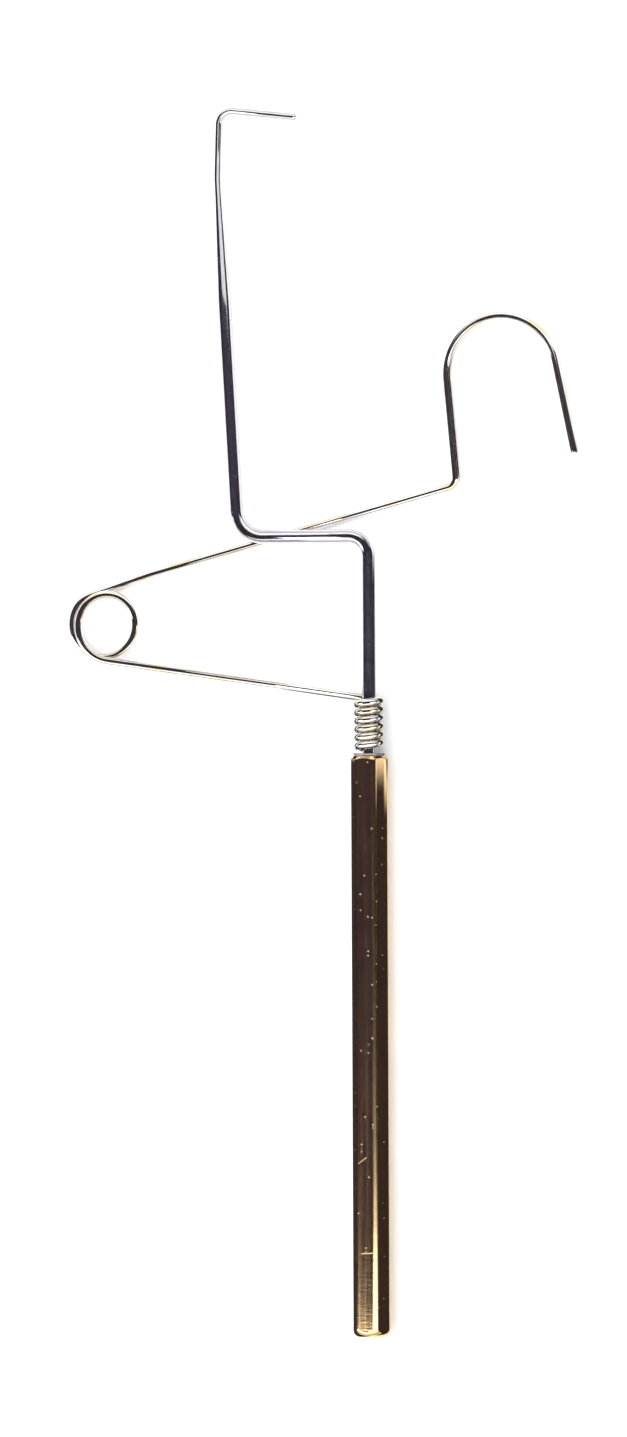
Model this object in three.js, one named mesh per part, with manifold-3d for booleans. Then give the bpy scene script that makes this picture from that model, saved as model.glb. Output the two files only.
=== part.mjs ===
// A rotary whip finisher for tying flies. A bent steel shaft turns in a hexagonal brass handle, and a spring
// wire wound on the shaft carries a loop and an open hook that flexes sideways.
//
// Millimetres, +Z up. The tool lies on a table (z = 0) on one flat of its handle, with the hook end towards
// +Y and the wire hook on the +X side. The origin is under the middle of the handle.
import * as THREE from "three";
import { mergeVertices } from "three/addons/utils/BufferGeometryUtils.js";
import Module from "manifold-3d";

// ---- Driving dimensions ----------------------------------------------------------------------------------

// Handle: hexagonal bar, bored right through.
const handleAcrossFlats = 4.1;
const handleLength = 67.2;
const handleEdgeRadius = 0.8; // the bar's long edges are well rounded
const frontBevel = 0.3;
const rearRounding = 1.0; // how far the rounded rear end draws in
const rearRoundingLength = 1.3;

// Fits.
const pressGap = 0.02; // drawn gap of a piece pressed into the bore
const runningClearance = 0.05; // radial, between the shaft and its bushes
const gripGap = 0.04; // drawn gap between the wound wire and the shaft it grips
const sideClearance = 0.04; // along the axis, between pieces that turn past each other

// Pieces inside the handle.
const bushLength = 5.0;
const bushWall = 0.38;
const frontBushInset = 0.2;
const rearBushInset = 8.0; // from the handle's rear end to the bush
const endPlugLength = 3.0;
const clipThickness = 0.3;
const clipWidth = 0.5;
const clipOpening = THREE.MathUtils.degToRad(50);
const grooveDepth = 0.2;
const tailBeyondClip = 1.0;

// Thrust washer between the handle and the wound wire.
const washerRadius = 1.88;
const washerThickness = 0.2;

// Shaft: one rod, bent in the plane of the tool. Heights are from the handle's front end.
const shaftRadius = 0.8;
const crossbarHeight = 25.3;
const crossbarReach = 16.05; // from the handle's axis to the foot of the upper arm
const crossbarBendRadius = 2.4;
const armBendRadius = 3.4;
const armLean = THREE.MathUtils.degToRad(3.2);
const armFullLength = 27.4; // from the crossbar up to where the taper begins
const armTaperLength = 12.2;
const armTipLength = 10.0; // from the end of the taper to the top corner
const armTipBend = THREE.MathUtils.degToRad(-5.0);
const armTipBendRadius = 15;
const topRadius = 0.43; // the rod's radius past the taper
const topBend = THREE.MathUtils.degToRad(-94.3);
const topBendRadius = 1.6;
const topHookLength = 9.6;

// Spring wire: a close coil on the shaft, a lower arm, a loop, an upper arm and an open hook.
const wireRadius = 0.45;
const coilTurns = 6;
const coilTurnGap = 0.07;
const loopReach = 31.9; // from the handle's axis to the loop's centre where the wire enters it
const loopHeight = 14.9;
const loopEntryRadius = 3.87;
const loopExitRadius = 3.58;
const loopDrift = { x: -1.85, y: 0.41 }; // how far the loop's centre moves from entry to exit
const loopTurnGap = 0.06;
const upperArmSlope = THREE.MathUtils.degToRad(17.8);
const upperArmFirstLength = 7.64;
const upperArmBend = THREE.MathUtils.degToRad(-2.9);
const upperArmBendRadius = 12;
const upperArmLength = 37.55;
const hookBaseBend = THREE.MathUtils.degToRad(80.5);
const hookBaseBendRadius = 1.15;
const hookLegLength = 11.26;
const hookArchBend = THREE.MathUtils.degToRad(-173.4);
const hookArchRadius = 6.75;
const hookTipLength = 10.9;

// Facets.
const roundSegments = 32;
const shaftSides = 16;
const wireSides = 10;
const stepsPerTurn = 18;
const bendStep = THREE.MathUtils.degToRad(11);

// ---- Places that follow from them ------------------------------------------------------------------------

const axisHeight = handleAcrossFlats / 2;
const front = handleLength / 2;
const rear = -handleLength / 2;
// From the handle's axis to the centre of each long edge's rounding.
const edgeReach = (axisHeight - handleEdgeRadius) / Math.cos(Math.PI / 6);
const cornerRadius = edgeReach + handleEdgeRadius;
const bushBoreRadius = shaftRadius + runningClearance;
const pressedRadius = bushBoreRadius + bushWall;
const handleBoreRadius = pressedRadius + pressGap;
const rearBushEnd = rear + rearBushInset;
const grooveFront = rearBushEnd - sideClearance;
const grooveRear = grooveFront - clipThickness - 2 * sideClearance;
const tailEnd = grooveRear - tailBeyondClip;
const washerFront = front + sideClearance + washerThickness;
const coilRadius = shaftRadius + gripGap + wireRadius;
const coilPitch = 2 * wireRadius + coilTurnGap;
const coilRear = washerFront + sideClearance + wireRadius;
const coilFront = coilRear + coilTurns * coilPitch;
const wirePlane = wireRadius - axisHeight; // the wire's centre line where it lies on the table

// ---- Solids ----------------------------------------------------------------------------------------------

const manifold = await Module();
manifold.setup();

// A closed geometry as a manifold solid, for the cuts.
function toSolid(geometry) {
  const bare = geometry.index ? geometry.toNonIndexed() : geometry.clone();
  bare.deleteAttribute("normal");
  bare.deleteAttribute("uv");
  const merged = mergeVertices(bare, 1e-4);
  return new manifold.Manifold(
    new manifold.Mesh({
      numProp: 3,
      vertProperties: new Float32Array(merged.attributes.position.array),
      triVerts: new Uint32Array(merged.index.array),
    }),
  );
}

function toGeometry(solid) {
  const mesh = solid.getMesh();
  const geometry = new THREE.BufferGeometry();
  geometry.setAttribute("position", new THREE.BufferAttribute(mesh.vertProperties, 3));
  geometry.setIndex(new THREE.BufferAttribute(mesh.triVerts, 1));
  const flat = geometry.toNonIndexed();
  flat.computeVertexNormals();
  return flat;
}

// A turned piece about the Y axis. The outline is a list of [radius, y], from the rear end forwards.
function turned(outline) {
  return new THREE.LatheGeometry(outline.map(([r, y]) => new THREE.Vector2(r, y)), roundSegments);
}

// A turned tube from y0 to y1, with its outer rims broken by a small bevel.
function tube(innerRadius, outerRadius, y0, y1, bevel) {
  return turned([
    [innerRadius, y0],
    [outerRadius - bevel, y0],
    [outerRadius, y0 + bevel],
    [outerRadius, y1 - bevel],
    [outerRadius - bevel, y1],
    [innerRadius, y1],
    [innerRadius, y0],
  ]);
}

// ---- Bent rod and wire -----------------------------------------------------------------------------------

// A route whose stations are given one by one, so that a sweep puts one ring at each of them.
class StationPath extends THREE.Curve {
  constructor(stations, tangents) {
    super();
    this.stations = stations;
    this.tangents = tangents;
  }
  getPointAt(u, target = new THREE.Vector3()) {
    return target.copy(this.stations[Math.round(u * (this.stations.length - 1))]);
  }
  getTangentAt(u, target = new THREE.Vector3()) {
    return target.copy(this.tangents[Math.round(u * (this.tangents.length - 1))]);
  }
}

// The direction of travel at each station: halfway between the stretch before it and the one after it.
function tangentsOf(stations) {
  return stations.map((station, i) => {
    const tangent = new THREE.Vector3();
    if (i > 0) tangent.add(station.clone().sub(stations[i - 1]).normalize());
    if (i < stations.length - 1) tangent.add(stations[i + 1].clone().sub(station).normalize());
    return tangent.normalize();
  });
}

// Follows a bending plan in a level plane, as a wire bender does: each step feeds a length and then makes a
// bend. A positive bend turns to the left.
function bendRoute(start, heading, plan) {
  const stations = [start.clone()];
  const at = start.clone();
  let angle = heading;
  for (const { feed, bend = 0, radius = 0 } of plan) {
    at.x += feed * Math.cos(angle);
    at.y += feed * Math.sin(angle);
    stations.push(at.clone());
    const steps = Math.ceil(Math.abs(bend) / bendStep);
    for (let i = 0; i < steps; i++) {
      const turn = bend / steps;
      const chord = 2 * radius * Math.sin(Math.abs(turn) / 2);
      at.x += chord * Math.cos(angle + turn / 2);
      at.y += chord * Math.sin(angle + turn / 2);
      angle += turn;
      stations.push(at.clone());
    }
  }
  return stations;
}

// The length of straight that a bend takes from each side of its corner.
const setback = (bend, radius) => radius * Math.tan(Math.abs(bend) / 2);

// A round bar swept along the stations from the first index to the last.
function roundBar(stations, radius, sides, first = 0, last = stations.length - 1) {
  const tangents = tangentsOf(stations).slice(first, last + 1);
  const path = new StationPath(stations.slice(first, last + 1), tangents);
  const corners = [];
  for (let i = 0; i < sides; i++) {
    const angle = (2 * Math.PI * i) / sides;
    corners.push(new THREE.Vector2(radius * Math.cos(angle), radius * Math.sin(angle)));
  }
  const section = new THREE.Shape(corners);
  const steps = last - first;
  return new THREE.ExtrudeGeometry(section, { steps, extrudePath: path, bevelEnabled: false });
}

// Shrinks each ring of a swept bar to its own radius.
function setRingRadii(geometry, stations, sweptRadius, radii) {
  const tangents = tangentsOf(stations);
  const vertices = geometry.attributes.position;
  const vertex = new THREE.Vector3();
  const offset = new THREE.Vector3();
  const slack = 1e-3;
  for (let v = 0; v < vertices.count; v++) {
    vertex.fromBufferAttribute(vertices, v);
    const ring = stations.findIndex((station, i) => {
      offset.copy(vertex).sub(station);
      const inPlane = Math.abs(offset.dot(tangents[i])) < slack;
      return inPlane && Math.abs(offset.length() - sweptRadius) < slack;
    });
    offset.copy(vertex).sub(stations[ring]).multiplyScalar(radii[ring] / sweptRadius);
    vertex.copy(stations[ring]).add(offset);
    vertices.setXYZ(v, vertex.x, vertex.y, vertex.z);
  }
  return geometry;
}

// ---- Pieces of the handle --------------------------------------------------------------------------------

function hexagonShape() {
  const shape = new THREE.Shape();
  for (let i = 0; i < 6; i++) {
    const angle = (i * Math.PI) / 3;
    const x = edgeReach * Math.cos(angle);
    const y = edgeReach * Math.sin(angle);
    shape.absarc(x, y, handleEdgeRadius, angle - Math.PI / 6, angle + Math.PI / 6, false);
  }
  return shape;
}

function handle() {
  const bar = new THREE.ExtrudeGeometry(hexagonShape(), {
    depth: handleLength,
    curveSegments: 5,
    bevelEnabled: false,
  });
  bar.rotateX(-Math.PI / 2).translate(0, rear, 0);

  // The turned ends: rounded at the rear, bevelled at the front.
  const clear = cornerRadius * 1.04;
  const outline = [[0, rear]];
  const arcSteps = 7;
  for (let i = 0; i <= arcSteps; i++) {
    const angle = (i / arcSteps) * (Math.PI / 2);
    const r = clear - rearRounding * (1 - Math.sin(angle));
    outline.push([r, rear + rearRoundingLength * (1 - Math.cos(angle))]);
  }
  outline.push([clear, front - frontBevel - (clear - axisHeight)]);
  outline.push([axisHeight - frontBevel, front]);
  outline.push([0, front]);

  const past = 1;
  const bore = turned([
    [0, rear - past],
    [handleBoreRadius, rear - past],
    [handleBoreRadius, front + past],
    [0, front + past],
  ]);
  return toGeometry(toSolid(bar).intersect(toSolid(turned(outline))).subtract(toSolid(bore)));
}

function endPlug() {
  const rim = 0.15;
  return turned([
    [0, rear],
    [pressedRadius - rim, rear],
    [pressedRadius, rear + rim],
    [pressedRadius, rear + endPlugLength - rim],
    [pressedRadius - rim, rear + endPlugLength],
    [0, rear + endPlugLength],
  ]);
}

function bush(y0) {
  return tube(bushBoreRadius, pressedRadius, y0, y0 + bushLength, 0.1);
}

function thrustWasher() {
  return tube(bushBoreRadius, washerRadius, front + sideClearance, washerFront, 0.04);
}

// A snap ring, open on one side, in the groove at the shaft's tail.
function retainingClip() {
  const innerRadius = shaftRadius - grooveDepth + sideClearance;
  const shape = new THREE.Shape();
  shape.absarc(0, 0, innerRadius + clipWidth, clipOpening / 2, 2 * Math.PI - clipOpening / 2, false);
  shape.absarc(0, 0, innerRadius, 2 * Math.PI - clipOpening / 2, clipOpening / 2, true);
  shape.closePath();
  const clip = new THREE.ExtrudeGeometry(shape, {
    depth: clipThickness,
    curveSegments: 14,
    bevelEnabled: false,
  });
  return clip.rotateX(-Math.PI / 2).translate(0, grooveRear + sideClearance, 0);
}

// ---- Shaft -----------------------------------------------------------------------------------------------

function shaft() {
  const crossbarSetback = setback(Math.PI / 2, crossbarBendRadius);
  const armBend = -(Math.PI / 2 - armLean);
  const armSetback = setback(armBend, armBendRadius);
  const tipSetback = setback(armTipBend, armTipBendRadius);
  const plan = [
    {
      feed: front + crossbarHeight - crossbarSetback - tailEnd,
      bend: Math.PI / 2,
      radius: crossbarBendRadius,
    },
    { feed: crossbarReach - crossbarSetback - armSetback, bend: armBend, radius: armBendRadius },
    { feed: armFullLength - armSetback },
    { feed: armTaperLength },
    { feed: 2 * tipSetback, bend: armTipBend, radius: armTipBendRadius },
    {
      feed: armTipLength - 4 * tipSetback - setback(topBend, topBendRadius),
      bend: topBend,
      radius: topBendRadius,
    },
    { feed: topHookLength - setback(topBend, topBendRadius) },
  ];
  const stations = bendRoute(new THREE.Vector3(0, tailEnd, 0), Math.PI / 2, plan);
  const taperStart = front + crossbarHeight + armFullLength * Math.cos(armLean);
  const pastTaper = taperStart + 0.1;
  let thin = false;
  const radii = stations.map((station) => {
    thin = thin || station.y > pastTaper;
    return thin ? topRadius : shaftRadius;
  });
  const rod = setRingRadii(roundBar(stations, shaftRadius, shaftSides), stations, shaftRadius, radii);
  const groove = tube(shaftRadius - grooveDepth, 2 * shaftRadius, grooveRear, grooveFront, 0);
  return toGeometry(toSolid(rod).subtract(toSolid(groove)));
}

// ---- Spring wire -----------------------------------------------------------------------------------------

// The coil, from its rear end to the back of the shaft at its front end. The front strands climb to +X.
function coilStations() {
  const stations = [];
  const steps = coilTurns * stepsPerTurn;
  for (let i = 0; i <= steps; i++) {
    const turns = coilTurns - i / stepsPerTurn;
    const angle = 2 * Math.PI * turns;
    const y = coilFront - turns * coilPitch;
    stations.push(new THREE.Vector3(coilRadius * Math.sin(angle), y, -coilRadius * Math.cos(angle)));
  }
  return stations;
}

// The loop: a clockwise spiral that sinks by a little over one wire per turn, so its turns clear each other.
function loopStations() {
  const centre = { x: -loopReach, y: front + loopHeight };
  const entryHeading = Math.PI - Math.atan2(centre.y - loopEntryRadius - coilFront, loopReach);
  const turning = entryHeading + 2 * Math.PI - upperArmSlope;
  const drop = ((2 * wireRadius + loopTurnGap) * turning) / (2 * Math.PI);
  const steps = Math.ceil((turning / (2 * Math.PI)) * stepsPerTurn * 1.4);
  const stations = [];
  for (let i = 0; i <= steps; i++) {
    const share = i / steps;
    const radius = THREE.MathUtils.lerp(loopEntryRadius, loopExitRadius, share);
    const angle = entryHeading + Math.PI / 2 - share * turning;
    stations.push(
      new THREE.Vector3(
        centre.x + share * loopDrift.x + radius * Math.cos(angle),
        centre.y + share * loopDrift.y + radius * Math.sin(angle),
        wirePlane + (1 - share) * drop,
      ),
    );
  }
  return stations;
}

// The upper arm and the hook, from the loop's end.
function hookStations(start) {
  const plan = [
    { feed: upperArmFirstLength, bend: upperArmBend, radius: upperArmBendRadius },
    { feed: upperArmLength, bend: hookBaseBend, radius: hookBaseBendRadius },
    { feed: hookLegLength, bend: hookArchBend, radius: hookArchRadius },
    { feed: hookTipLength },
  ];
  return bendRoute(start, upperArmSlope, plan);
}

const coil = coilStations();
const loop = loopStations();
const hook = hookStations(loop.at(-1));
const wire = [...coil, ...loop, ...hook.slice(1)];
const loopStart = coil.length;
const loopEnd = coil.length + loop.length - 1;

// ---- Assembly --------------------------------------------------------------------------------------------

const brass = { color: 0xb48a3c, roughness: 0.22, metalness: 1.0 };
const bronze = { color: 0x8f6a3a, roughness: 0.45, metalness: 1.0 };
const rodSteel = { color: 0x8e8a92, roughness: 0.28, metalness: 1.0 };
const wireSteel = { color: 0xc2bfc0, roughness: 0.18, metalness: 1.0 };

const tool = new THREE.Group();
tool.position.z = axisHeight;

function place(name, geometry, finish) {
  const mesh = new THREE.Mesh(geometry, new THREE.MeshStandardMaterial(finish));
  mesh.name = name;
  tool.add(mesh);
}

place("handle", handle(), brass);
place("end_plug", endPlug(), brass);
place("front_bush", bush(front - frontBushInset - bushLength), bronze);
place("rear_bush", bush(rearBushEnd), bronze);
place("thrust_washer", thrustWasher(), rodSteel);
place("retaining_clip", retainingClip(), rodSteel);
place("shaft", shaft(), rodSteel);
place("spring_coil", roundBar(wire, wireRadius, wireSides, 0, loopStart), wireSteel);
place("spring_loop", roundBar(wire, wireRadius, wireSides, loopStart, loopEnd), wireSteel);
place("spring_hook", roundBar(wire, wireRadius, wireSides, loopEnd), wireSteel);

const part = new THREE.Group();
part.add(tool);
export default part;
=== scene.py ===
# A rotary whip finisher lying on a white table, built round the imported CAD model.
#
# The frame is in metres: +Y runs along the handle towards the hook end, +Z is up from the table, and the wire
# hook is on the +X side. Lengths below are written in millimetres times MM.
import math

import bpy
from mathutils import Matrix, Vector


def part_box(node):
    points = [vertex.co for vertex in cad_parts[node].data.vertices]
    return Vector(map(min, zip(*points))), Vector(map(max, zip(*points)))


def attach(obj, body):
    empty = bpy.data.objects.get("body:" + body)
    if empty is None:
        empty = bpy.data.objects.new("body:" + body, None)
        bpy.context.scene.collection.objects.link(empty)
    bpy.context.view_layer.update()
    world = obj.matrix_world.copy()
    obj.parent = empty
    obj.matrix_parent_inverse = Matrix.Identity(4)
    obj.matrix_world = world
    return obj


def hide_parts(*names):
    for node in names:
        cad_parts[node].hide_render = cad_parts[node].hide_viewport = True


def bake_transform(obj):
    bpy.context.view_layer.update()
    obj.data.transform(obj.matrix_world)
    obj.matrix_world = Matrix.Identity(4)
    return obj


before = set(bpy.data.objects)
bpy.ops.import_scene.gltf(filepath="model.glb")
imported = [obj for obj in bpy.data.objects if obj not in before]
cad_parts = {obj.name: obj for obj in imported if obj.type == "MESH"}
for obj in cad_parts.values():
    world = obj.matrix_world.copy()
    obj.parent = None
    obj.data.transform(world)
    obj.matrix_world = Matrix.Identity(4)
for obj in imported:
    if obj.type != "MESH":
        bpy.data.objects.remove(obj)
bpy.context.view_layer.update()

MM = 0.001
MICRON = 0.000001

# ---- Places taken from the frame -------------------------------------------------------------------------

handle_low, handle_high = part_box("handle")
shaft_low, shaft_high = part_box("shaft")
coil_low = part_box("spring_coil")[0]
washer_low, washer_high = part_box("thrust_washer")
clip_low, clip_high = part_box("retaining_clip")

axis_height = handle_high.z / 2
handle_front = handle_high.y
handle_rear = handle_low.y
tool_middle = 37.88 * MM  # the middle of the view along the tool
coil_front_end = handle_front + 6.6 * MM  # the lower arm leaves the coil just behind this

# ---- Studio levels ---------------------------------------------------------------------------------------

studio_white = 1.7
low_wall_share = 0.3  # the walls' brightness near the table, against overhead
wall_fall_off = (0.1, 0.5)  # where the walls brighten, as sines of the angle above the table
flag_dark = (0.046, 0.036, 0.05, 1)
ribbon_dark = (0.03, 0.023, 0.028, 1)

# ---- Driving dimensions, the same as the CAD model's -----------------------------------------------------

# Handle.
handle_edge_radius = 0.8 * MM
handle_crown_radius = 14 * MM  # the polished flats are very slightly crowned
handle_bore_radius = 1.25 * MM
front_bevel = 0.3 * MM
rear_rounding = 1.0 * MM
rear_rounding_length = 1.3 * MM

# Shaft.
shaft_radius = 0.8 * MM
crossbar_height = 25.3 * MM
crossbar_reach = 16.05 * MM
crossbar_bend_radius = 2.4 * MM
arm_bend_radius = 3.4 * MM
arm_lean = math.radians(3.2)
arm_full_length = 27.4 * MM
arm_taper_length = 12.2 * MM
arm_tip_length = 10.0 * MM
arm_tip_bend = math.radians(-5.0)
arm_tip_bend_radius = 15 * MM
top_radius = 0.43 * MM
top_bend = math.radians(-94.3)
top_bend_radius = 1.6 * MM
top_hook_length = 9.6 * MM
groove_depth = 0.2 * MM
groove_play = 0.04 * MM  # between the retaining clip and each side of its groove

# Spring wire.
wire_radius = 0.45 * MM
coil_turns = 6
coil_pitch = 0.97 * MM
coil_radius = 1.29 * MM
loop_reach = 31.9 * MM
loop_height = 14.9 * MM
loop_entry_radius = 3.87 * MM
loop_exit_radius = 3.58 * MM
loop_drift_x = -1.85 * MM
loop_drift_y = 0.41 * MM
loop_turn_gap = 0.06 * MM
upper_arm_slope = math.radians(17.8)
upper_arm_first_length = 7.64 * MM
upper_arm_bend = math.radians(-2.9)
upper_arm_bend_radius = 12 * MM
upper_arm_length = 37.55 * MM
hook_base_bend = math.radians(80.5)
hook_base_bend_radius = 1.15 * MM
hook_leg_length = 11.26 * MM
hook_arch_bend = math.radians(-173.4)
hook_arch_radius = 6.75 * MM
hook_tip_length = 10.9 * MM

# Fineness of the meshes.
bend_step = math.radians(3)
straight_step = 0.8 * MM
rod_sides = 48
wire_sides = 32
coil_steps_per_turn = 56
loop_steps = 110


# ---- Routes ----------------------------------------------------------------------------------------------


def bend_route(start, heading, plan):
    """The centre line of a bent rod in a level plane. The plan is a list of (feed, bend, radius)."""
    points = [Vector(start)]
    at = Vector(start)
    angle = heading
    for feed, bend, radius in plan:
        steps = max(1, math.ceil(feed / straight_step))
        for _ in range(steps):
            at = at + Vector((math.cos(angle), math.sin(angle), 0)) * (feed / steps)
            points.append(at)
        steps = math.ceil(abs(bend) / bend_step)
        for _ in range(steps):
            turn = bend / steps
            chord = 2 * radius * math.sin(abs(turn) / 2)
            middle = angle + turn / 2
            at = at + Vector((math.cos(middle), math.sin(middle), 0)) * chord
            angle += turn
            points.append(at)
    return points


def setback(bend, radius):
    """The length of straight that a bend takes from each side of its corner."""
    return radius * math.tan(abs(bend) / 2)


def shaft_route():
    crossbar_setback = setback(math.pi / 2, crossbar_bend_radius)
    arm_bend = arm_lean - math.pi / 2
    arm_setback = setback(arm_bend, arm_bend_radius)
    tip_setback = setback(arm_tip_bend, arm_tip_bend_radius)
    top_setback = setback(top_bend, top_bend_radius)
    stem = handle_front + crossbar_height - crossbar_setback - shaft_low.y
    plan = [
        (stem, math.pi / 2, crossbar_bend_radius),
        (crossbar_reach - crossbar_setback - arm_setback, arm_bend, arm_bend_radius),
        (arm_full_length - arm_setback, 0, 0),
        (arm_taper_length, 0, 0),
        (2 * tip_setback, arm_tip_bend, arm_tip_bend_radius),
        (arm_tip_length - 4 * tip_setback - top_setback, top_bend, top_bend_radius),
        (top_hook_length - top_setback, 0, 0),
    ]
    return bend_route((0, shaft_low.y, axis_height), math.pi / 2, plan)


def coil_route():
    """Close turns round the shaft, from the rear end to the back of the shaft at the front end."""
    coil_front = coil_low.y + wire_radius + coil_turns * coil_pitch
    points = []
    steps = coil_turns * coil_steps_per_turn
    for i in range(steps + 1):
        turns = coil_turns - i / coil_steps_per_turn
        angle = 2 * math.pi * turns
        x = coil_radius * math.sin(angle)
        z = axis_height - coil_radius * math.cos(angle)
        points.append(Vector((x, coil_front - turns * coil_pitch, z)))
    return points


def loop_route(coil_front):
    """A clockwise spiral that sinks by a little over one wire in each turn."""
    centre_x = -loop_reach
    centre_y = handle_front + loop_height
    entry_heading = math.pi - math.atan2(centre_y - loop_entry_radius - coil_front, loop_reach)
    turning = entry_heading + 2 * math.pi - upper_arm_slope
    drop = (2 * wire_radius + loop_turn_gap) * turning / (2 * math.pi)
    points = []
    for i in range(loop_steps + 1):
        share = i / loop_steps
        radius = loop_entry_radius + (loop_exit_radius - loop_entry_radius) * share
        angle = entry_heading + math.pi / 2 - share * turning
        x = centre_x + share * loop_drift_x + radius * math.cos(angle)
        y = centre_y + share * loop_drift_y + radius * math.sin(angle)
        points.append(Vector((x, y, wire_radius + (1 - share) * drop)))
    return points


def hook_route(start):
    plan = [
        (upper_arm_first_length, upper_arm_bend, upper_arm_bend_radius),
        (upper_arm_length, hook_base_bend, hook_base_bend_radius),
        (hook_leg_length, hook_arch_bend, hook_arch_radius),
        (hook_tip_length, 0, 0),
    ]
    return bend_route(start, upper_arm_slope, plan)


def spaced(start, end):
    """Points between two ends of a straight stretch, without the ends."""
    steps = max(1, math.ceil((end - start).length / straight_step))
    return [start.lerp(end, i / steps) for i in range(1, steps)]


def wire_route():
    coil = coil_route()
    loop = loop_route(coil[-1].y)
    arm = spaced(coil[-1], loop[0])
    return [*coil, *arm, *loop, *hook_route(loop[-1])[1:]]


# ---- Meshes ----------------------------------------------------------------------------------------------


def new_object(name, vertices, faces, material, uvs=None):
    mesh = bpy.data.meshes.new(name)
    mesh.from_pydata(vertices, [], faces)
    if uvs:
        layer = mesh.uv_layers.new(name="length_and_turn")
        for loop, uv in zip(layer.data, uvs):
            loop.uv = uv
    mesh.validate()
    mesh.shade_smooth()
    piece = bpy.data.objects.new(name, mesh)
    bpy.context.scene.collection.objects.link(piece)
    piece.data.materials.append(material)
    return piece


def directions_along(centres):
    last = len(centres) - 1
    return [(centres[min(i + 1, last)] - centres[max(i - 1, 0)]).normalized() for i in range(last + 1)]


def rounded_ends(centres, radii, rims):
    """Adds rings that round off each end of a rod by its rim radius, inside the rod's length."""
    steps = 5
    smallest_share = 0.02  # rings smaller than this share of the rod close up, and are left out
    centres, radii = list(centres), list(radii)
    for end, rim in zip((0, -1), rims):
        outward = (centres[end] - centres[1 if end == 0 else -2]).normalized()
        tip, full = centres[end], radii[end]
        rings = []
        for i in range(steps + 1):
            angle = i / steps * math.pi / 2
            ring_centre = tip - outward * rim * (1 - math.sin(angle))
            rings.append((ring_centre, full - rim * (1 - math.cos(angle))))
        rings = [ring for ring in rings if ring[1] > full * smallest_share]
        if end == 0:
            centres = [c for c, _ in reversed(rings)] + centres[1:]
            radii = [r for _, r in reversed(rings)] + radii[1:]
        else:
            centres = centres[:-1] + [c for c, _ in rings]
            radii = radii[:-1] + [r for _, r in rings]
    return centres, radii


def round_rod(name, centres, radii, sides, rims, material):
    """A closed round rod along the centres, with its ends rounded by the two rim radii."""
    centres, radii = rounded_ends(centres, radii, rims)
    headings = directions_along(centres)
    side = headings[0].cross(Vector((0, 0, 1))).normalized()
    vertices, lengths, length = [], [], 0.0
    for i, (centre, radius, heading) in enumerate(zip(centres, radii, headings)):
        if i:
            side = headings[i - 1].rotation_difference(heading) @ side
            length += (centre - centres[i - 1]).length
        side = (side - heading * side.dot(heading)).normalized()
        other = heading.cross(side)
        lengths.append(length / MM)
        for k in range(sides):
            turn = 2 * math.pi * k / sides
            vertices.append(centre + (side * math.cos(turn) + other * math.sin(turn)) * radius)
    faces, uvs = [], []
    for i in range(len(centres) - 1):
        for k in range(sides):
            following = (k + 1) % sides
            a, b = i * sides, (i + 1) * sides
            faces.append((a + k, a + following, b + following, b + k))
            near, far = k / sides, (k + 1) / sides
            uvs += [(lengths[i], near), (lengths[i], far), (lengths[i + 1], far), (lengths[i + 1], near)]
    last = (len(centres) - 1) * sides
    faces.append(tuple(reversed(range(sides))))
    faces.append(tuple(range(last, last + sides)))
    uvs += [(0.0, k / sides) for k in reversed(range(sides))]
    uvs += [(lengths[-1], k / sides) for k in range(sides)]
    return new_object(name, vertices, faces, material, uvs)


def lathe(name, outline, sides, material):
    """A ring turned about the handle's axis. The outline is a closed list of (radius, y)."""
    count = len(outline)
    vertices = []
    for k in range(sides):
        turn = 2 * math.pi * k / sides
        for radius, y in outline:
            vertices.append((radius * math.cos(turn), y, axis_height + radius * math.sin(turn)))
    faces = []
    for k in range(sides):
        a, b = k * count, ((k + 1) % sides) * count
        for i in range(count):
            j = (i + 1) % count
            faces.append((a + i, b + i, b + j, a + j))
    return new_object(name, vertices, faces, material)


# ---- Node graphs -----------------------------------------------------------------------------------------


class Graph:
    """A node tree with a short way to add a node and link its inputs."""

    def __init__(self, tree):
        self.tree = tree
        tree.nodes.clear()

    def add(self, kind, inputs=None, **settings):
        node = self.tree.nodes.new(kind)
        for name, value in settings.items():
            setattr(node, name, value)
        for key, value in (inputs or {}).items():
            if isinstance(value, bpy.types.NodeSocket):
                self.tree.links.new(value, node.inputs[key])
            else:
                node.inputs[key].default_value = value
        return node

    def math(self, operation, *values):
        node = self.add("ShaderNodeMath", dict(enumerate(values)), operation=operation)
        return node.outputs[0]

    def ramp(self, value, low, high, to_low=0.0, to_high=1.0):
        """A smooth step of the value from one number to another."""
        ends = {"Value": value, "From Min": low, "From Max": high, "To Min": to_low, "To Max": to_high}
        return self.add("ShaderNodeMapRange", ends, interpolation_type="SMOOTHSTEP").outputs[0]

    def mix(self, share, a, b):
        """A mix of two colours."""
        node = self.add("ShaderNodeMix", data_type="RGBA")
        for socket, value in ((node.inputs[0], share), (node.inputs[6], a), (node.inputs[7], b)):
            if isinstance(value, bpy.types.NodeSocket):
                self.tree.links.new(value, socket)
            else:
                socket.default_value = value
        return node.outputs[2]

    def noise(self, place, scale, detail=3.0):
        """Noise at a place, stretched by a different scale along each axis."""
        stretched = self.add("ShaderNodeMapping", {"Vector": place, "Scale": scale}).outputs[0]
        inputs = {"Vector": stretched, "Scale": 1.0, "Detail": detail}
        return self.add("ShaderNodeTexNoise", inputs).outputs[0]

    def bumps(self, layers):
        """Bump layers on top of each other: a list of (height socket, depth in metres)."""
        normal = None
        for height, depth in layers:
            inputs = {"Height": height, "Distance": depth, "Strength": 1.0}
            if normal:
                inputs["Normal"] = normal
            normal = self.add("ShaderNodeBump", inputs).outputs[0]
        return normal


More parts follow.
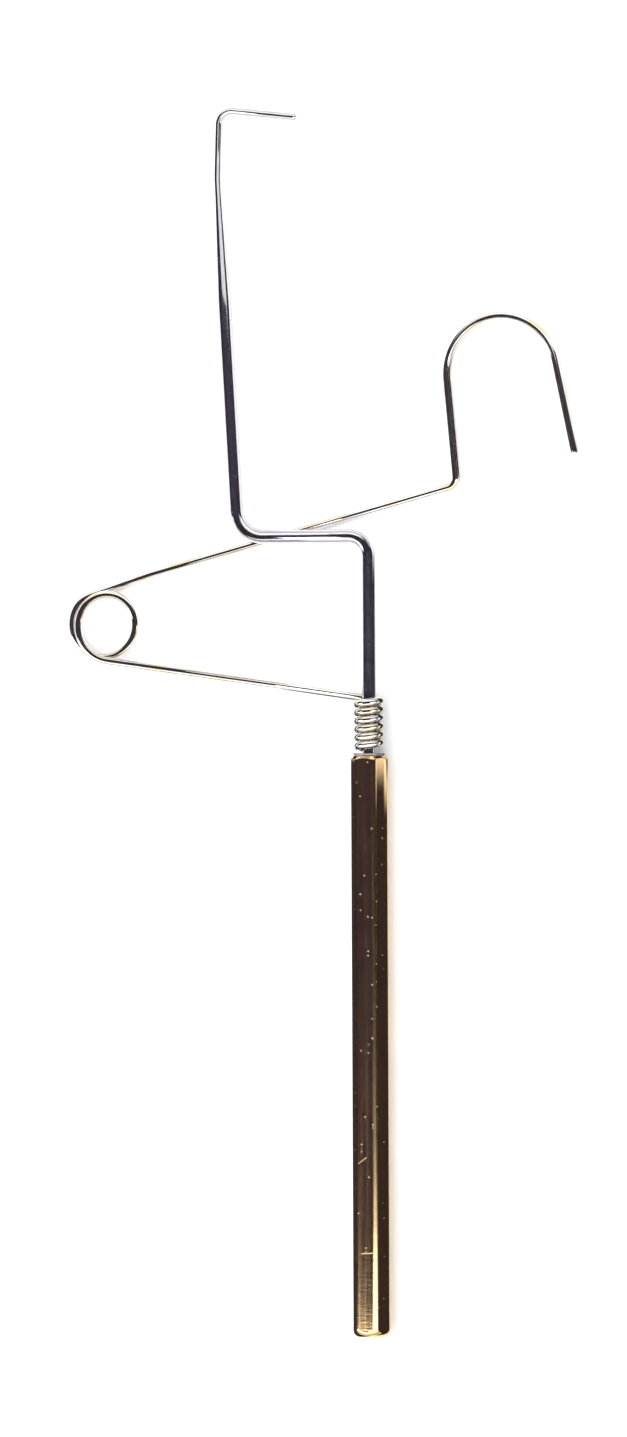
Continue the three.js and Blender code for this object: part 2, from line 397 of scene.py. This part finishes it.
def metal(name, colour, roughness):
    """A metal material, its graph and its shader, ready for the links."""
    material = bpy.data.materials.new(name)
    material.use_nodes = True
    graph = Graph(material.node_tree)
    shader = graph.add("ShaderNodeBsdfPrincipled", {"Base Color": colour, "Roughness": roughness})
    shader.inputs["Metallic"].default_value = 1.0
    graph.add("ShaderNodeOutputMaterial", {"Surface": shader.outputs[0]})
    return material, graph, shader


def link(graph, socket, shader, name):
    graph.tree.links.new(socket, shader.inputs[name])


def scratch(graph, place, centre, heading, length, width):
    """A mask that is 1 along one short straight scratch, in the handle's plan."""
    mark = {"Vector": place, "Location": centre, "Rotation": (0, 0, heading), "Scale": (length, width, 1)}
    local = graph.add("ShaderNodeMapping", mark, vector_type="TEXTURE").outputs[0]
    parts = graph.add("ShaderNodeSeparateXYZ", {0: local}).outputs
    along = graph.ramp(graph.math("ABSOLUTE", parts["X"]), 0.3, 0.5, 1.0, 0.0)
    across = graph.ramp(graph.math("ABSOLUTE", parts["Y"]), 0.1, 0.5, 1.0, 0.0)
    return graph.math("MULTIPLY", along, across)


def specks(graph, place, cells_per_metre, share):
    """A mask of pinprick spots in a share of the cells."""
    cells = graph.add("ShaderNodeTexVoronoi", {"Vector": place, "Scale": cells_per_metre}).outputs
    pick = graph.add("ShaderNodeSeparateColor", {0: cells["Color"]}).outputs[0]
    spot = graph.ramp(cells["Distance"], 0.08, 0.2, 1.0, 0.0)
    return graph.math("MULTIPLY", spot, graph.math("LESS_THAN", pick, share))


def brass_material():
    """Polished brass bar: drawing lines along it, faint stains, pinpricks, rubbed streaks and scratches."""
    material, graph, shader = metal("polished_brass", (0.76, 0.56, 0.26, 1), 0.08)
    place = graph.add("ShaderNodeTexCoord").outputs["Object"]
    lines = graph.noise(place, (9000, 60, 9000), 4)
    streaks = graph.noise(place, (2200, 25, 2200), 2)
    stains = graph.ramp(graph.noise(place, (420, 160, 420), 5), 0.42, 0.7)
    pricks = specks(graph, place, cells_per_metre=2200, share=0.12)
    link(graph, graph.mix(stains, (0.79, 0.56, 0.28, 1), (0.68, 0.47, 0.24, 1)), shader, "Base Color")
    polish = graph.ramp(streaks, 0.3, 0.7, 0.045, 0.09)
    dull_pricks = graph.math("MULTIPLY", pricks, 0.5)
    link(graph, graph.math("MAXIMUM", polish, dull_pricks), shader, "Roughness")
    # Rubbed across near the rear end.
    along = graph.add("ShaderNodeSeparateXYZ", {0: place}).outputs["Y"]
    rubbed_from = handle_rear + 17 * MM
    rubbed_full = handle_rear + 10 * MM
    worn = graph.ramp(along, rubbed_from, rubbed_full)
    rubbed = graph.math("MULTIPLY", worn, graph.noise(place, (500, 2600, 500), 3))
    # Each scratch has its middle, heading, length and width.
    slanted_middle = (-0.34 * MM, -13.2 * MM, 0)
    crossing_middle = (0.2 * MM, -23.9 * MM, 0)
    slanted = scratch(graph, place, slanted_middle, math.radians(35), 1.3 * MM, 0.12 * MM)
    crossing = scratch(graph, place, crossing_middle, math.radians(4), 1.5 * MM, 0.14 * MM)
    layers = [
        (lines, 1.2 * MICRON),
        (rubbed, 1.3 * MICRON),
        (pricks, 14 * MICRON),
        (slanted, -12 * MICRON),
        (crossing, -14 * MICRON),
    ]
    link(graph, graph.bumps(layers), shader, "Normal")
    return material


def shaft_material():
    """Drawn steel rod, ground round and polished, with fine lines along it and a few handling marks."""
    material, graph, shader = metal("ground_steel", (0.62, 0.60, 0.63, 1), 0.15)
    place = graph.add("ShaderNodeTexCoord").outputs["UV"]
    lines = graph.noise(place, (0.7, 60, 1), 4)
    rings = graph.noise(place, (22, 3, 1), 3)
    marks = graph.ramp(graph.noise(place, (2.2, 9, 1), 2), 0.70, 0.75)
    colour = graph.mix(graph.ramp(lines, 0.3, 0.7), (0.66, 0.64, 0.67, 1), (0.55, 0.53, 0.56, 1))
    link(graph, graph.mix(marks, colour, (0.16, 0.14, 0.15, 1)), shader, "Base Color")
    link(graph, graph.ramp(rings, 0.35, 0.7, 0.07, 0.15), shader, "Roughness")
    layers = [(lines, 2 * MICRON), (rings, 1.5 * MICRON), (marks, -8 * MICRON)]
    link(graph, graph.bumps(layers), shader, "Normal")
    return material


def wire_material():
    """Bright drawn stainless spring wire, with faint die lines along it and a slight straw tint."""
    material, graph, shader = metal("spring_wire", (0.78, 0.76, 0.73, 1), 0.1)
    place = graph.add("ShaderNodeTexCoord").outputs["UV"]
    lines = graph.noise(place, (0.9, 30, 1), 3)
    tint = graph.noise(place, (0.25, 1.5, 1), 2)
    colour = graph.mix(graph.ramp(tint, 0.4, 0.65), (0.78, 0.77, 0.76, 1), (0.72, 0.64, 0.5, 1))
    link(graph, colour, shader, "Base Color")
    link(graph, graph.ramp(lines, 0.3, 0.7, 0.06, 0.15), shader, "Roughness")
    link(graph, graph.bumps([(lines, 1 * MICRON)]), shader, "Normal")
    return material


def washer_material():
    """Stamped steel, turned marks round its face."""
    material, graph, shader = metal("stamped_steel", (0.42, 0.41, 0.43, 1), 0.3)
    place = graph.add("ShaderNodeTexCoord").outputs["Object"]
    grain = graph.noise(place, (3000, 9000, 3000), 3)
    colour = graph.mix(graph.ramp(grain, 0.35, 0.7), (0.46, 0.45, 0.47, 1), (0.3, 0.29, 0.31, 1))
    link(graph, colour, shader, "Base Color")
    link(graph, graph.ramp(grain, 0.3, 0.7, 0.22, 0.4), shader, "Roughness")
    link(graph, graph.bumps([(grain, 2 * MICRON)]), shader, "Normal")
    return material


def bronze_material():
    """Turned bearing bronze with fine rings and dull patches."""
    material, graph, shader = metal("bearing_bronze", (0.55, 0.38, 0.2, 1), 0.4)
    place = graph.add("ShaderNodeTexCoord").outputs["Object"]
    rings = graph.noise(place, (300, 9000, 300), 3)
    dull = graph.noise(place, (700, 700, 700), 3)
    colour = graph.mix(graph.ramp(dull, 0.35, 0.7), (0.56, 0.39, 0.21, 1), (0.4, 0.27, 0.15, 1))
    link(graph, colour, shader, "Base Color")
    link(graph, graph.ramp(dull, 0.3, 0.7, 0.3, 0.5), shader, "Roughness")
    link(graph, graph.bumps([(rings, 3 * MICRON)]), shader, "Normal")
    return material


def table_material():
    """Smooth white card."""
    material = bpy.data.materials.new("white_card")
    material.use_nodes = True
    graph = Graph(material.node_tree)
    shader = graph.add("ShaderNodeBsdfPrincipled", {"Base Color": (0.93, 0.93, 0.93, 1), "Roughness": 0.9})
    shader.inputs["Specular IOR Level"].default_value = 0.0
    graph.add("ShaderNodeOutputMaterial", {"Surface": shader.outputs[0]})
    return material


def glow_material(name, colour, strength):
    """An even light or an even dark, for cards that only the metal reflects."""
    material = bpy.data.materials.new(name)
    material.use_nodes = True
    graph = Graph(material.node_tree)
    shader = graph.add("ShaderNodeEmission", {"Color": colour, "Strength": strength})
    graph.add("ShaderNodeOutputMaterial", {"Surface": shader.outputs[0]})
    return material


# ---- Pieces ----------------------------------------------------------------------------------------------


def hexagon_reach(turn):
    """The handle section's distance from the axis in a direction: crowned flats and rounded edges."""
    half = axis_height
    sixth = math.pi / 3
    # The direction from the nearest flat's middle, where a flat faces straight up.
    off = abs((turn - math.pi / 2 + sixth / 2) % sixth - sixth / 2)
    back = handle_crown_radius - half
    inner = handle_crown_radius - handle_edge_radius
    edge_turn = sixth / 2 - math.asin(math.sin(sixth / 2) * back / inner)
    edge_centre = inner * math.cos(sixth / 2 - edge_turn) - back * math.cos(sixth / 2)
    flat_end_x = handle_crown_radius * math.cos(edge_turn) - back
    flat_end = math.atan2(handle_crown_radius * math.sin(edge_turn), flat_end_x)
    if off < flat_end:
        return math.sqrt(handle_crown_radius**2 - (back * math.sin(off)) ** 2) - back * math.cos(off)
    from_edge = sixth / 2 - off
    across = edge_centre * math.sin(from_edge)
    return edge_centre * math.cos(from_edge) + math.sqrt(handle_edge_radius**2 - across**2)


def handle_end_limits():
    """Stations along the handle and the radius its turned ends leave at each: a list of (y, radius)."""
    margin = 1.03  # past the rounded edges, so that the limit leaves them whole between the two ends
    corner = hexagon_reach(0) * margin
    stations = []
    steps = 14
    for i in range(steps + 1):
        angle = i / steps * math.pi / 2
        y = handle_rear + rear_rounding_length * (1 - math.cos(angle))
        stations.append((y, corner - rear_rounding * (1 - math.sin(angle))))
    body_start = handle_rear + rear_rounding_length
    body_end = handle_front - front_bevel - (corner - axis_height)
    steps = 60
    for i in range(1, steps):
        stations.append((body_start + (body_end - body_start) * i / steps, corner))
    steps = 10
    for i in range(steps + 1):
        share = i / steps
        y = body_end + (handle_front - body_end) * share
        stations.append((y, corner - (y - body_end)))
    return stations


def build_handle(material):
    sides = 288
    rim = 0.06 * MM
    vertices, faces = [], []
    rings = [(handle_rear, None), *handle_end_limits(), (handle_front, None)]
    for y, limit in rings:
        for k in range(sides):
            turn = 2 * math.pi * k / sides
            if limit is None:
                radius = handle_bore_radius
            else:
                radius = min(hexagon_reach(turn), limit)
            vertices.append((radius * math.cos(turn), y, axis_height + radius * math.sin(turn)))
    count = len(rings)
    for i in range(count):
        a, b = i * sides, ((i + 1) % count) * sides
        for k in range(sides):
            j = (k + 1) % sides
            faces.append((a + k, b + k, b + j, a + j))
    piece = new_object("handle_bar", vertices, faces, material)
    soften_rims(piece, rim)
    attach(piece, "handle")
    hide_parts("handle")
    return piece


def soften_rims(piece, width):
    """A narrow bevel on the sharp rims at the ends and the bore, and shading that keeps flats flat."""
    bevel = piece.modifiers.new("rims", "BEVEL")
    bevel.width = width
    bevel.segments = 2
    bevel.limit_method = "ANGLE"
    bevel.angle_limit = math.radians(40)
    piece.modifiers.new("flats", "WEIGHTED_NORMAL")


def build_shaft(material):
    route = shaft_route()
    taper_start = handle_front + crossbar_height + arm_full_length * math.cos(arm_lean)
    taper_rise = arm_taper_length * math.cos(arm_lean)
    groove_rear = clip_low.y - groove_play
    groove_front = clip_high.y + groove_play
    corner = 0.01 * MM
    groove = [groove_rear - corner, groove_rear, groove_front, groove_front + corner]
    stem = [point for point in route if point.y < groove_rear - corner and abs(point.x) < corner]
    rest = route[len(stem):]
    rest = [p for p in rest if p.y > groove_front + corner]
    cuts = [Vector((0, y, axis_height)) for y in groove]
    centres = [*stem, *cuts, *rest]
    radii = []
    for point in centres:
        share = min(max((point.y - taper_start) / taper_rise, 0), 1)
        radius = shaft_radius + (top_radius - shaft_radius) * share
        in_groove = groove_rear - corner / 2 < point.y < groove_front + corner / 2
        radii.append(radius - groove_depth if in_groove else radius)
    rims = (0.15 * MM, top_radius * 0.85)
    piece = round_rod("bent_shaft", centres, radii, rod_sides, rims, material)
    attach(piece, "head")
    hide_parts("shaft")
    return piece


def build_spring(material):
    """The whole spring in one wire, from its coil round its loop to its hook."""
    route = wire_route()
    radii = [wire_radius] * len(route)
    rims = (0.08 * MM, 0.1 * MM)
    piece = round_rod("spring_wire", route, radii, wire_sides, rims, material)
    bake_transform(piece)
    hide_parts("spring_coil", "spring_loop", "spring_hook")
    return piece


def build_washer(material):
    inner = shaft_radius + 0.05 * MM
    outer = (washer_high.x - washer_low.x) / 2
    rim = 0.06 * MM
    rear, front = washer_low.y, washer_high.y
    outline = [(inner, rear), (outer - rim, rear)]
    outline += [(outer - rim * 0.3, rear + rim * 0.3), (outer, rear + rim)]
    outline += [(outer, front - rim), (outer - rim * 0.3, front - rim * 0.3)]
    outline += [(outer - rim, front), (inner, front)]
    piece = lathe("washer", outline, 72, material)
    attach(piece, "handle")
    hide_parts("thrust_washer")
    return piece


def finish_cad_nodes(materials):
    """The pieces inside the handle keep their CAD shapes and take a finish each."""
    for node, slot in (("end_plug", "brass"), ("front_bush", "bronze"), ("rear_bush", "bronze"),
                       ("retaining_clip", "washer_steel")):
        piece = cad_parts[node]
        piece.data.materials.clear()
        piece.data.materials.append(materials[slot])


# ---- Studio ----------------------------------------------------------------------------------------------


def flat_sheet(name, low, high, height, material):
    """A level sheet between two corners."""
    corners = [(low[0], low[1], height), (high[0], low[1], height)]
    corners += [(high[0], high[1], height), (low[0], high[1], height)]
    sheet = new_object(name, corners, [(0, 1, 2, 3)], material)
    return sheet


def build_table():
    reach = 1.5
    flat_sheet("table", (-reach, -reach), (reach, reach), 0.0, table_material())


def only_reflected(*pieces):
    """Stage pieces that the metal reflects, and that neither the camera nor the table sees."""
    for piece in pieces:
        piece.visible_camera = False
        piece.visible_diffuse = False
        piece.visible_shadow = False
        piece.visible_transmission = False


def build_flags():
    """Dark cards just over the table, beside the handle, the coil, the stem and the hook's legs."""
    step = 0.02 * MM
    far = 540 * MM
    rear = handle_rear - 40 * MM
    edge = handle_high.x
    right = edge + 2.0 * MM
    front_right = (edge + 10 * MM, edge + 46 * MM)
    beside_stem = edge + 5.2 * MM
    coil_left = (-12 * MM, -edge - 0.5 * MM)
    front = handle_front
    crossbar = front + 26 * MM
    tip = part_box("spring_hook")[1].x
    leg = tip - 2 * hook_arch_radius - 2 * MM
    foot = front + 34 * MM
    top = front + 45 * MM
    # Each card's name, its range of X, its range of Y, and the length over which each end fades away.
    cards = [
        ("handle_right_flag", (right, far), (rear, front - 1.5 * MM), (8 * MM, 6 * MM)),
        ("front_right_flag", front_right, (front - 14 * MM, front + 1.5 * MM), (4 * MM, 6 * MM)),
        ("stem_flag", (edge + 0.6 * MM, beside_stem), (front - 5 * MM, crossbar), (5 * MM, 6 * MM)),
        ("stem_far_flag", (beside_stem, far), (front + 3 * MM, crossbar), (3 * MM, 6 * MM)),
        ("handle_left_flag", (-far, -edge - 0.75 * MM), (rear, front + 1 * MM), (8 * MM, 2 * MM)),
        ("coil_left_flag", coil_left, (front + 0.5 * MM, front + 7 * MM), (0.5 * MM, 0.7 * MM)),
        ("leg_flag", (leg, leg + 11 * MM), (foot - 3 * MM, top + 2 * MM), (2 * MM, 3 * MM)),
        ("tip_flag", (tip + 0.3 * MM, far), (foot - 8 * MM, top + 2 * MM), (2 * MM, 3 * MM)),
    ]
    for number, (name, (x0, x1), (y0, y1), fades) in enumerate(cards, 1):
        material = fading_flag_material(name, (y0, y1), fades)
        only_reflected(flat_sheet(name, (x0, y0), (x1, y1), number * step, material))
    over_coil_height = 12 * MM
    over_coil = glow_material("over_coil_flag", ribbon_dark, 1.0)
    low = (-6 * MM, washer_low.y)
    high = (6 * MM, front + 7.5 * MM)
    only_reflected(flat_sheet("over_coil_flag", low, high, over_coil_height, over_coil))


def build_wire_flag():
    """A dark ribbon over the spring's arms, loop and hook, which widens the dark line along the thin wire."""
    material = glow_material("ribbon_dark", ribbon_dark, 1.0)
    height = 10 * MM
    half_width = 4.4 * MM
    route = [point for point in wire_route() if point.y > coil_front_end]
    crossbar_front = handle_front + crossbar_height + shaft_radius
    left_of = shaft_low.x + 5 * MM
    right_of = -7 * MM
    top_hook_from = shaft_high.y - 1.2 * MM
    stretches = [
        [point for point in route if point.x < left_of],
        [point for point in route if point.x > right_of and point.y > crossbar_front],
        [point for point in shaft_route() if point.y > top_hook_from],
    ]
    for number, stretch in enumerate(stretches, 1):
        headings = directions_along(stretch)
        vertices, faces = [], []
        for point, heading in zip(stretch, headings):
            side = heading.cross(Vector((0, 0, 1))).normalized() * half_width
            over = Vector((point.x, point.y, height))
            vertices += [over - side, over + side]
        for i in range(len(stretch) - 1):
            faces.append((2 * i, 2 * i + 1, 2 * i + 3, 2 * i + 2))
        ribbon = new_object(f"wire_flag_{number}", vertices, faces, material)
        only_reflected(ribbon)


def build_top_light():
    """A small soft light over the shaft's taper and top hook, and a narrow one beside its arm."""
    over = glow_material("soft_glow", (1.0, 0.98, 1.0, 1), 1.25)
    glint = glow_material("glint_glow", (1.0, 0.97, 1.0, 1), 0.34)
    arm_x = shaft_low.x + shaft_radius
    taper = handle_front + crossbar_height + arm_full_length
    top_light_height = 60 * MM
    arm_light_height = 34 * MM
    low = (arm_x - 15 * MM, taper + 6 * MM)
    high = (arm_x + 80 * MM, shaft_high.y + 3 * MM)
    light = flat_sheet("top_light", low, high, top_light_height, over)
    low = (arm_x + 48.5 * MM, taper - 22 * MM)
    high = (arm_x + 51.5 * MM, taper + 2 * MM)
    strip = flat_sheet("arm_light", low, high, arm_light_height, glint)
    only_reflected(light, strip)


def fading_flag_material(name, ends, fades):
    """The dark of the studio, for a card on the table that fades away towards its two ends along the tool."""
    material = bpy.data.materials.new(name)
    material.use_nodes = True
    graph = Graph(material.node_tree)
    place = graph.add("ShaderNodeTexCoord").outputs["Object"]
    along = graph.add("ShaderNodeSeparateXYZ", {0: place}).outputs["Y"]
    rear_end = graph.ramp(along, ends[0], ends[0] + fades[0])
    front_end = graph.ramp(along, ends[1] - fades[1], ends[1], 1.0, 0.0)
    shown = graph.math("MULTIPLY", rear_end, front_end)
    dark = graph.add("ShaderNodeEmission", {"Color": flag_dark, "Strength": 1.0})
    clear = graph.add("ShaderNodeBsdfTransparent")
    both = graph.add("ShaderNodeMixShader", {0: shown, 1: clear.outputs[0], 2: dark.outputs[0]})
    graph.add("ShaderNodeOutputMaterial", {"Surface": both.outputs[0]})
    return material


def vault_material(radius):
    """What the metal reflects overhead: a dark studio with white walls beyond its two ends."""
    material = bpy.data.materials.new("studio_vault")
    material.use_nodes = True
    graph = Graph(material.node_tree)
    place = graph.add("ShaderNodeTexCoord").outputs["Object"]
    parts = graph.add("ShaderNodeSeparateXYZ", {0: place}).outputs
    degree = math.degrees(1)
    # Round the handle's axis, from +X at 0 over the top to -X at 180, and forward of the tool's middle.
    around = graph.math("MULTIPLY", graph.math("ARCTAN2", parts["Z"], parts["X"]), degree)
    forward = graph.math("MULTIPLY", parts["Y"], degree / radius)
    left = graph.ramp(around, 60.0, 105.0)
    # The rear end wall fades into the dark between these two, and lies further back on the left side.
    white_end, dark_end = -7.0, -5.4
    white_end_shift, dark_end_shift = -0.85, -1.95
    wall_edge = graph.math("MULTIPLY_ADD", left, white_end_shift, white_end)
    dark_edge = graph.math("MULTIPLY_ADD", left, dark_end_shift, dark_end)
    behind = graph.ramp(forward, wall_edge, dark_edge)
    ahead = graph.ramp(forward, 30.0, 36.0, 1.0, 0.0)
    dark = graph.math("MULTIPLY", behind, ahead)
    right_side = graph.ramp(around, 30.0, 80.0)
    left_side = graph.ramp(around, 112.0, 150.0, 1.0, 0.0)
    overhead = graph.math("MULTIPLY", right_side, left_side)
    shade = graph.mix(overhead, (0.034, 0.026, 0.036, 1), (0.052, 0.04, 0.074, 1))
    # The end walls are brightest round one line behind the tool, and fall off towards the table.
    distance = graph.add("ShaderNodeVectorMath", {0: place}, operation="LENGTH").outputs["Value"]
    height = graph.math("DIVIDE", parts["Z"], distance)
    falloff = graph.ramp(height, *wall_fall_off, low_wall_share, 1.0)
    brightest, times_brighter = 9.0, 2.1
    from_brightest = graph.math("ABSOLUTE", graph.math("ADD", forward, brightest))
    near = graph.ramp(from_brightest, 6.0, 16.0, times_brighter, 1.0)
    wall = graph.math("MULTIPLY", graph.math("MULTIPLY", falloff, near), studio_white)
    white = graph.add("ShaderNodeCombineXYZ", {0: wall, 1: wall, 2: wall}).outputs[0]
    colour = graph.mix(dark, white, shade)
    shader = graph.add("ShaderNodeEmission", {"Color": colour, "Strength": 1.0})
    graph.add("ShaderNodeOutputMaterial", {"Surface": shader.outputs[0]})
    return material


def build_vault():
    """A barrel vault over the tool, which only the metal sees."""
    radius = 0.74
    reach = 0.9
    sides = 90
    vertices, faces = [], []
    for i in range(sides + 1):
        turn = math.pi * i / sides
        x, z = radius * math.cos(turn), radius * math.sin(turn)
        vertices += [(x, -reach, z), (x, reach, z)]
    for i in range(sides):
        faces.append((2 * i, 2 * i + 1, 2 * i + 3, 2 * i + 2))
    vault = new_object("studio_vault", vertices, faces, vault_material(radius))
    vault.location = (0, tool_middle, axis_height)
    only_reflected(vault)


def build_world():
    """White light from overhead, fainter towards the horizon."""
    world = bpy.data.worlds.new("studio")
    bpy.context.scene.world = world
    world.use_nodes = True
    graph = Graph(world.node_tree)
    direction = graph.add("ShaderNodeTexCoord").outputs["Generated"]
    height = graph.add("ShaderNodeSeparateXYZ", {0: direction}).outputs["Z"]
    falloff = graph.ramp(height, *wall_fall_off, low_wall_share, 1.0)
    strength = graph.math("MULTIPLY", falloff, studio_white)
    background = graph.add("ShaderNodeBackground", {"Color": (1, 1, 1, 1), "Strength": strength})
    graph.add("ShaderNodeOutputWorld", {"Surface": background.outputs[0]})


def build_camera():
    """Above the tool, leaning over to its right side, with the tool's long axis upright in the frame."""
    lean = math.radians(20)
    roll = math.radians(0.26)
    distance = 2.2
    frame_height = 166.1 * MM
    target = Vector((-6.85 * MM, tool_middle, axis_height))
    back = Vector((math.sin(lean), 0, math.cos(lean)))
    right = Vector((math.cos(lean), 0, -math.sin(lean)))
    along = Vector((0, 1, 0))
    camera_right = right * math.cos(roll) - along * math.sin(roll)
    camera_up = along * math.cos(roll) + right * math.sin(roll)
    data = bpy.data.cameras.new("camera")
    data.sensor_width = 36
    data.lens = data.sensor_width * distance / frame_height
    camera = bpy.data.objects.new("camera", data)
    bpy.context.scene.collection.objects.link(camera)
    camera.matrix_world = Matrix.Translation(target + back * distance) @ Matrix(
        (camera_right, camera_up, back)
    ).transposed().to_4x4()
    bpy.context.scene.camera = camera


def build_light():
    """A soft lamp from the upper left, for the faint shadows on the table."""
    data = bpy.data.lights.new("softbox", "AREA")
    data.shape = "DISK"
    data.size = 0.3
    data.energy = 1.2
    lamp = bpy.data.objects.new("softbox", data)
    bpy.context.scene.collection.objects.link(lamp)
    place = Vector((-0.45, 0.1, 0.5))
    lamp.matrix_world = Matrix.Translation(place) @ place.to_track_quat("Z", "Y").to_matrix().to_4x4()
    lamp.visible_glossy = False


# ---- Scene -----------------------------------------------------------------------------------------------

bpy.context.scene.view_settings.view_transform = "Standard"

materials = {
    "brass": brass_material(),
    "bronze": bronze_material(),
    "washer_steel": washer_material(),
    "shaft_steel": shaft_material(),
    "wire_steel": wire_material(),
}
build_handle(materials["brass"])
build_shaft(materials["shaft_steel"])
build_spring(materials["wire_steel"])
build_washer(materials["washer_steel"])
finish_cad_nodes(materials)
build_table()
build_flags()
build_wire_flag()
build_top_light()
build_vault()
build_world()
build_light()
build_camera()
